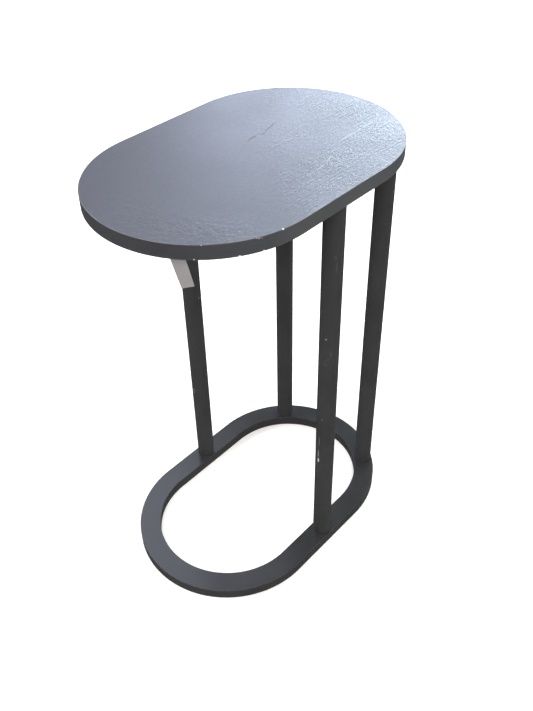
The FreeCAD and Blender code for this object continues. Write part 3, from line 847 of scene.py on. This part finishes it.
def grow(name, tree, values, bevel=None):
    """Run a geometry tree with its own values, round its sharp edges, and return the plain mesh."""
    host = link_object(name, bpy.data.meshes.new(name))
    modifier = host.modifiers.new("tree", "NODES")
    modifier.node_group = tree
    for socket in tree.interface.items_tree:
        if socket.in_out == "INPUT":
            modifier[socket.identifier] = values[socket.name]
    if bevel:
        rounding = host.modifiers.new("rounding", "BEVEL")
        rounding.width = bevel
        rounding.segments = BEVEL_STEPS
        rounding.limit_method = "ANGLE"
        rounding.angle_limit = BEVEL_ANGLE
        rounding.harden_normals = True
    mesh = plain_mesh(host)
    mesh.name = name
    return mesh


print("geometry helpers ready")

# %% Build the ring
RING_EDGE_ROUND = 2.0 * MM
ARC_POINTS = 72
SEAM_GAP = 0.01 * MM

ring_sizes = {
    "Path Length": 2 * (half_straight + ring_middle),
    "Path Width": 2 * ring_middle,
    "Band": ring_band,
    "Depth": ring_high.z - ring_low.z,
    "Level": (ring_high.z + ring_low.z) / 2,
}
ring_tree, given, result = new_geometry_tree("oval_tube", ring_sizes)
box_path = add(ring_tree, "GeometryNodeCurvePrimitiveQuadrilateral",
               {"Width": given["Path Length"], "Height": given["Path Width"]}).outputs[0]
end_radius = calculate(ring_tree, "MULTIPLY", given["Path Width"], 0.5)
fillet = {"Curve": box_path, "Count": ARC_POINTS, "Radius": end_radius, "Limit Radius": True}
oval_path = add(ring_tree, "GeometryNodeFilletCurve", fillet, mode="POLY").outputs[0]
level_path = add(ring_tree, "GeometryNodeSetCurveNormal", {"Curve": oval_path}, mode="Z_UP").outputs[0]
section = add(ring_tree, "GeometryNodeCurvePrimitiveQuadrilateral",
              {"Width": given["Band"], "Height": given["Depth"]}).outputs[0]
tube = add(ring_tree, "GeometryNodeCurveToMesh", {"Curve": level_path, "Profile Curve": section}).outputs[0]
merged = add(ring_tree, "GeometryNodeMergeByDistance", {"Geometry": tube, "Distance": SEAM_GAP}).outputs[0]
upward = add(ring_tree, "ShaderNodeCombineXYZ", {"Z": given["Level"]}).outputs[0]
raised = add(ring_tree, "GeometryNodeTransform", {"Geometry": merged, "Translation": upward}).outputs[0]
finish_tree(ring_tree, raised, result, coat)
ring_mesh = grow("floor_ring", ring_tree, ring_sizes, bevel=RING_EDGE_ROUND)
new_piece("floor_ring", ring_mesh, coat, "frame_coat", "base_ring")

# %% [markdown]
# ## The posts
# Four equal tubes stand on the middle line of the ring. Four cylinders would do, but the posts follow a rule
# as well: one small tree draws a line from the ring to the board and sweeps a circle along it, and a loop
# grows it once for each post, at that post's own place.

# %% Build the posts
POST_SIDES = 96
SHARP_ANGLE = math.radians(40)

post_tree, given, result = new_geometry_tree(
    "round_post", {"Foot": (0.0, 0.0, 0.0), "Head": (0.0, 0.0, top_low.z), "Radius": post_radius})
axis = add(post_tree, "GeometryNodeCurvePrimitiveLine",
           {"Start": given["Foot"], "End": given["Head"]}).outputs[0]
circle = add(post_tree, "GeometryNodeCurvePrimitiveCircle",
             {"Resolution": POST_SIDES, "Radius": given["Radius"]}).outputs[0]
swept = add(post_tree, "GeometryNodeCurveToMesh",
            {"Curve": axis, "Profile Curve": circle, "Fill Caps": True}).outputs[0]
smooth = add(post_tree, "GeometryNodeSetShadeSmooth", {"Geometry": swept}).outputs[0]
finish_tree(post_tree, smooth, result, coat)

for name, (low, high) in post_boxes.items():
    middle = post_places[name]
    post_sizes = {
        "Foot": (middle.x, middle.y, low.z),
        "Head": (middle.x, middle.y, high.z),
        "Radius": post_radius,
    }
    post_mesh = grow(f"{name}_tube", post_tree, post_sizes)
    post_mesh.set_sharp_from_angle(angle=SHARP_ANGLE)
    new_piece(f"{name}_tube", post_mesh, coat, "frame_coat", f"{name}_post")

# %% [markdown]
# ## The paper label
# A narrow strip of paper is stuck under the open end, folded down, and hangs a little askew, with its lower
# end cut at a slant. A simulated cloth would move with every change, so the strip is drawn along one path:
# flat under the board, over the fold, then down with a slight curl. Solidify gives it the thickness of card.

# %% Build the label
TAG_WIDTH = 18.0 * MM
TAG_THICKNESS = 0.4 * MM
TAG_FLAP = 14.0 * MM
TAG_DROP = 45.5 * MM
TAG_LEAN = math.radians(14.5)
TAG_FACING = math.radians(25.0)
TAG_PLACE = Vector((-0.19382, -0.0686, top_low.z))
TAG_CURL = 2.5 * MM
TAG_CUT = 3.0 * MM
TAG_TWIST = 0.5
TAG_BOW = -0.2
TAG_ROWS = 40
TAG_COLUMNS = 8

inward = Vector((math.cos(TAG_FACING), math.sin(TAG_FACING), 0))
fold_line = Vector((-inward.y, inward.x, 0))
half_thickness = Vector((0, 0, TAG_THICKNESS / 2))


def label_point(run, side):
    """A point of the label: run is -1 at the end of the flap, 0 at the fold and 1 at the lower end."""
    to_side = side * TAG_WIDTH / 2
    along_fold = to_side / math.cos(TAG_LEAN)
    if run <= 0:
        return TAG_PLACE + inward * (-run * TAG_FLAP) + fold_line * along_fold
    hang = TAG_DROP * math.cos(TAG_LEAN) + to_side * math.sin(TAG_LEAN) - TAG_CUT * (1 - side) / 2
    drop = run * hang
    slide = along_fold - math.tan(TAG_LEAN) * drop
    curl = TAG_CURL * run ** 2 * (side * TAG_TWIST + TAG_BOW)
    return TAG_PLACE + fold_line * slide + Vector((0, 0, -drop)) + inward * curl


runs = np.linspace(-1, 1, TAG_ROWS + 1)
sides = np.linspace(-1, 1, TAG_COLUMNS + 1)
tag_points = [label_point(run, side) - half_thickness for run in runs for side in sides]
strip = bpy.data.meshes.new("label_strip")
strip.from_pydata(tag_points, [], grid_faces(TAG_ROWS, TAG_COLUMNS))
strip_host = link_object("label_strip", strip)
card = strip_host.modifiers.new("card", "SOLIDIFY")
card.thickness = TAG_THICKNESS
card.offset = 0
label_mesh = plain_mesh(strip_host)
label_mesh.shade_smooth()
label_mesh.set_sharp_from_angle(angle=SHARP_ANGLE)
new_piece("paper_label", label_mesh, paper, "tag_paper", "paper_tag")

# %% [markdown]
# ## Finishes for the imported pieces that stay
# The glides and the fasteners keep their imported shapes, which are already right. They only take their
# finish, by the slot that the record gives each of them, so nothing has to be named twice.

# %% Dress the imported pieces
FINISHES = {
    "zinc_steel": zinc,
    "glide_plastic": plastic,
    "frame_coat": coat,
    "top_wood": wood,
    "tag_paper": paper,
}

for part in frame["record"]["subparts"]:
    packed_mesh = frame["nodes"][part["node"]].data
    packed_mesh.materials.clear()
    packed_mesh.materials.append(FINISHES[part["material_slot"]])

# %% [markdown]
# ## The floor
# The table stands on a plain pale floor that fades into a white backdrop. A plain white plane would turn
# grey away from the lights, so this one glows a little for the camera alone, and lets the backdrop through
# further out. It is left out of reflections, so the upright faces stay as calm as they are in the
# photograph.

# %% Lay the floor
FLOOR_HALF = 5.0
FLOOR_FADE = (1.6, 3.0)
FLOOR_COLOUR = (0.93, 0.86, 0.74, 1.0)
FLOOR_DARK = (0.0, 0.0, 0.0, 1.0)
FLOOR_GLOW = (0.30, 0.30, 0.30, 1.0)

corners = [(x * FLOOR_HALF, y * FLOOR_HALF, 0) for x, y in ((-1, -1), (1, -1), (1, 1), (-1, 1))]
floor_mesh = bpy.data.meshes.new("floor")
floor_mesh.from_pydata(corners, [], [(0, 1, 2, 3)])
floor = link_object("floor", floor_mesh)
floor.visible_glossy = False
floor_paint, floor_tree, floor_shader = new_material(
    "pale_floor", Base_Color=FLOOR_COLOUR, Roughness=0.9, Specular_IOR_Level=0.1, Emission_Strength=1.0)
floor_mesh.materials.append(floor_paint)
away = length_of(floor_tree, object_place(floor_tree))
seen = add(floor_tree, "ShaderNodeLightPath").outputs["Is Camera Ray"]
feed(floor_tree, floor_shader,
     Alpha=fit_range(floor_tree, away, *FLOOR_FADE, 1.0, 0.0),
     Emission_Color=blend_colours(floor_tree, seen, FLOOR_DARK, FLOOR_GLOW))
print(f"floor {2 * FLOOR_HALF:.0f} m wide, fading from {FLOOR_FADE[0]} m to {FLOOR_FADE[1]} m")

# %% [markdown]
# ## The light
# A room picture could light the table, but panels say plainly where the light comes from. Two wide cool
# panels low behind the closed end give the board its sheen, which fades towards the open end. Two on the
# left light the ring's upper face and the posts from that side, and one in front and a low one on the right
# fill in the near sides. The room itself is dim and even, and only the camera sees it as white.

# %% Light the room
BACKDROP = (1.0, 1.0, 1.0, 1.0)
ROOM_ABOVE = (0.08, 0.08, 0.08, 1.0)
ROOM_BELOW = (0.09, 0.09, 0.09, 1.0)
HORIZON = (-0.15, 0.15)

world = bpy.data.worlds.new("studio")
world.use_nodes = True
sky_tree = world.node_tree
direction = add(sky_tree, "ShaderNodeTexCoord").outputs["Generated"]
upwards = add(sky_tree, "ShaderNodeSeparateXYZ", {0: direction}).outputs["Z"]
room = blend_colours(sky_tree, fit_range(sky_tree, upwards, *HORIZON), ROOM_BELOW, ROOM_ABOVE)
seen = add(sky_tree, "ShaderNodeLightPath").outputs["Is Camera Ray"]
sky = blend_colours(sky_tree, seen, room, BACKDROP)
sky_tree.links.new(sky, sky_tree.nodes["Background"].inputs["Color"])
bpy.context.scene.world = world
bpy.context.scene.view_settings.view_transform = "Standard"
print("room", ROOM_ABOVE[:3], "over", ROOM_BELOW[:3])

# %% Hang the panels
WINDOW = (0.78, 0.945, 1.0)
WINDOW_CORNER = (0.69, 0.77, 1.0)
SKY = (0.76, 0.80, 1.0)
SIDE_SKY = (0.78, 0.855, 1.0)
FRONT_SKY = (0.895, 0.885, 1.0)
PANEL_DISTANCE = 4.0
PANEL_AIM = Vector((0, 0, 0.3))
PANELS = [
    # name, azimuth and elevation, width and height in degrees, radiance, colour
    ("closed_end_panel", 2, 17, 60, 20, 12.8, WINDOW),
    ("corner_panel", 33, 16, 30, 19, 11.4, WINDOW_CORNER),
    ("left_high_panel", 91, 54, 58, 20, 5.2, SKY),
    ("left_panel", 140, 25, 50, 30, 4.8, SIDE_SKY),
    ("front_panel", 223, 45, 60, 30, 5.1, FRONT_SKY),
    ("right_panel", 262, 9, 100, 16, 4.4, SIDE_SKY),
]


def panel_side(degrees):
    """The length of a panel's side that fills an angle, seen from the table."""
    return 2 * PANEL_DISTANCE * math.tan(math.radians(degrees / 2))


def hang_panel(name, azimuth, elevation, wide, high, radiance, colour):
    """A soft rectangular light, given by the part of the sky that it fills and by its radiance."""
    turn = math.radians(azimuth)
    lift = math.radians(elevation)
    towards = Vector((math.cos(lift) * math.cos(turn), math.cos(lift) * math.sin(turn), math.sin(lift)))
    light = bpy.data.lights.new(name, "AREA")
    light.shape = "RECTANGLE"
    light.size = panel_side(wide)
    light.size_y = panel_side(high)
    light.energy = math.pi * light.size * light.size_y * radiance
    light.color = colour
    panel = link_object(name, light)
    panel.visible_camera = False
    panel.location = PANEL_AIM + towards * PANEL_DISTANCE
    panel.rotation_mode = "QUATERNION"
    panel.rotation_quaternion = (-towards).to_track_quat("-Z", "Y")
    print(f"light {name}: {light.size:.2f} by {light.size_y:.2f} m, {light.energy:.0f} W")


for panel_row in PANELS:
    hang_panel(*panel_row)
